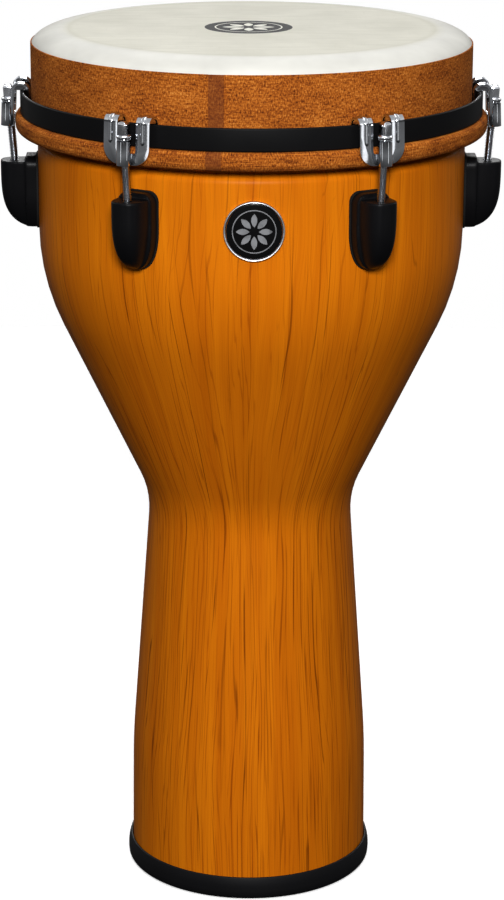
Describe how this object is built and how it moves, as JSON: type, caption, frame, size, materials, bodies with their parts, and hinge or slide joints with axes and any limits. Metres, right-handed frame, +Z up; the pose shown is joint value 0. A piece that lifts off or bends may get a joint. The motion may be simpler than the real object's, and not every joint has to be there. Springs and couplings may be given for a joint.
{
  "type": "djembe",
  "caption": "Goblet-shaped hand drum with a key-tuned head: synthetic shell with a wood-grain finish, cloth-collared film head, black hoop, claw hooks, tension rods and black lugs.",
  "frame": {"origin": "middle of the foot ring, on the floor", "axes": "+Z up along the drum's axis; -Y is the front, where the badge is; +X to the right as seen from the front"},
  "size_m": [0.346, 0.324, 0.61],
  "materials": {
    "shell_finish": "glass-fibre shell, gloss lacquer over an orange wood-grain print",
    "foot_rubber": "black moulded rubber, satin",
    "head_film": "off-white film with faint fibres",
    "collar_fabric": "woven orange and brown cloth",
    "flesh_hoop_metal": "plain ring, hidden in the cloth",
    "hoop_black": "black powder coat",
    "chrome": "polished chrome plate",
    "steel": "bright zinc-plated steel",
    "lug_black": "black moulded, satin",
    "gasket_rubber": "thin black sheet",
    "nut_brass": "turned brass",
    "badge_black": "black enamel under a clear dome"
  },
  "bodies": {
    "root": {"shell": "shell_finish", "foot_ring": "foot_rubber", "badge_rim": "chrome", "badge_face": "badge_black", "lug_1": "lug_black", "lug_gasket_1": "gasket_rubber", "swivel_nut_1": "nut_brass", "lug_screw_upper_1": "steel", "lug_screw_lower_1": "steel", "lug_2": "lug_black", "lug_gasket_2": "gasket_rubber", "swivel_nut_2": "nut_brass", "lug_screw_upper_2": "steel", "lug_screw_lower_2": "steel", "lug_3": "lug_black", "lug_gasket_3": "gasket_rubber", "swivel_nut_3": "nut_brass", "lug_screw_upper_3": "steel", "lug_screw_lower_3": "steel", "lug_4": "lug_black", "lug_gasket_4": "gasket_rubber", "swivel_nut_4": "nut_brass", "lug_screw_upper_4": "steel", "lug_screw_lower_4": "steel", "lug_5": "lug_black", "lug_gasket_5": "gasket_rubber", "swivel_nut_5": "nut_brass", "lug_screw_upper_5": "steel", "lug_screw_lower_5": "steel", "lug_6": "lug_black", "lug_gasket_6": "gasket_rubber", "swivel_nut_6": "nut_brass", "lug_screw_upper_6": "steel", "lug_screw_lower_6": "steel"},
    "head": {"head_film": "head_film", "head_collar": "collar_fabric", "flesh_hoop": "flesh_hoop_metal", "counter_hoop": "hoop_black"},
    "hook_1": {"hook_1": "chrome", "rod_washer_1": "chrome"},
    "hook_2": {"hook_2": "chrome", "rod_washer_2": "chrome"},
    "hook_3": {"hook_3": "chrome", "rod_washer_3": "chrome"},
    "hook_4": {"hook_4": "chrome", "rod_washer_4": "chrome"},
    "hook_5": {"hook_5": "chrome", "rod_washer_5": "chrome"},
    "hook_6": {"hook_6": "chrome", "rod_washer_6": "chrome"},
    "tension_rod_1": {"tension_rod_1": "steel"},
    "tension_rod_2": {"tension_rod_2": "steel"},
    "tension_rod_3": {"tension_rod_3": "steel"},
    "tension_rod_4": {"tension_rod_4": "steel"},
    "tension_rod_5": {"tension_rod_5": "steel"},
    "tension_rod_6": {"tension_rod_6": "steel"}
  },
  "joints": [
    {"name": "head_travel", "type": "slide", "parent": "root", "child": "head", "axis": [0, 0, 1], "range_m": [0, 0.008]},
    {"name": "hook_1_travel", "type": "slide", "parent": "root", "child": "hook_1", "axis": [0.0767, 0, 0.9971], "range_m": [0, 0.00803]},
    {"name": "rod_1_turn", "type": "hinge", "parent": "hook_1", "child": "tension_rod_1", "pos_m": [0.1666, 0, 0.56], "axis": [0.0767, 0, 0.9971], "range_deg": [0, 2729.4]},
    {"name": "hook_2_travel", "type": "slide", "parent": "root", "child": "hook_2", "axis": [0.0384, 0.0664, 0.9971], "range_m": [0, 0.00803]},
    {"name": "rod_2_turn", "type": "hinge", "parent": "hook_2", "child": "tension_rod_2", "pos_m": [0.0833, 0.14428, 0.56], "axis": [0.0384, 0.0664, 0.9971], "range_deg": [0, 2729.4]},
    {"name": "hook_3_travel", "type": "slide", "parent": "root", "child": "hook_3", "axis": [-0.0384, 0.0664, 0.9971], "range_m": [0, 0.00803]},
    {"name": "rod_3_turn", "type": "hinge", "parent": "hook_3", "child": "tension_rod_3", "pos_m": [-0.0833, 0.14428, 0.56], "axis": [-0.0384, 0.0664, 0.9971], "range_deg": [0, 2729.4]},
    {"name": "hook_4_travel", "type": "slide", "parent": "root", "child": "hook_4", "axis": [-0.0767, 0, 0.9971], "range_m": [0, 0.00803]},
    {"name": "rod_4_turn", "type": "hinge", "parent": "hook_4", "child": "tension_rod_4", "pos_m": [-0.1666, 0, 0.56], "axis": [-0.0767, 0, 0.9971], "range_deg": [0, 2729.4]},
    {"name": "hook_5_travel", "type": "slide", "parent": "root", "child": "hook_5", "axis": [-0.0384, -0.0664, 0.9971], "range_m": [0, 0.00803]},
    {"name": "rod_5_turn", "type": "hinge", "parent": "hook_5", "child": "tension_rod_5", "pos_m": [-0.0833, -0.14428, 0.56], "axis": [-0.0384, -0.0664, 0.9971], "range_deg": [0, 2729.4]},
    {"name": "hook_6_travel", "type": "slide", "parent": "root", "child": "hook_6", "axis": [0.0384, -0.0664, 0.9971], "range_m": [0, 0.00803]},
    {"name": "rod_6_turn", "type": "hinge", "parent": "hook_6", "child": "tension_rod_6", "pos_m": [0.0833, -0.14428, 0.56], "axis": [0.0384, -0.0664, 0.9971], "range_deg": [0, 2729.4]}
  ],
  "couplings": [
    {"joint": "hook_1_travel", "follows": "head_travel", "ratio": 1.003},
    {"joint": "rod_1_turn", "follows": "head_travel", "rad_per_m": 5954.4},
    {"joint": "hook_2_travel", "follows": "head_travel", "ratio": 1.003},
    {"joint": "rod_2_turn", "follows": "head_travel", "rad_per_m": 5954.4},
    {"joint": "hook_3_travel", "follows": "head_travel", "ratio": 1.003},
    {"joint": "rod_3_turn", "follows": "head_travel", "rad_per_m": 5954.4},
    {"joint": "hook_4_travel", "follows": "head_travel", "ratio": 1.003},
    {"joint": "rod_4_turn", "follows": "head_travel", "rad_per_m": 5954.4},
    {"joint": "hook_5_travel", "follows": "head_travel", "ratio": 1.003},
    {"joint": "rod_5_turn", "follows": "head_travel", "rad_per_m": 5954.4},
    {"joint": "hook_6_travel", "follows": "head_travel", "ratio": 1.003},
    {"joint": "rod_6_turn", "follows": "head_travel", "rad_per_m": 5954.4}
  ]
}
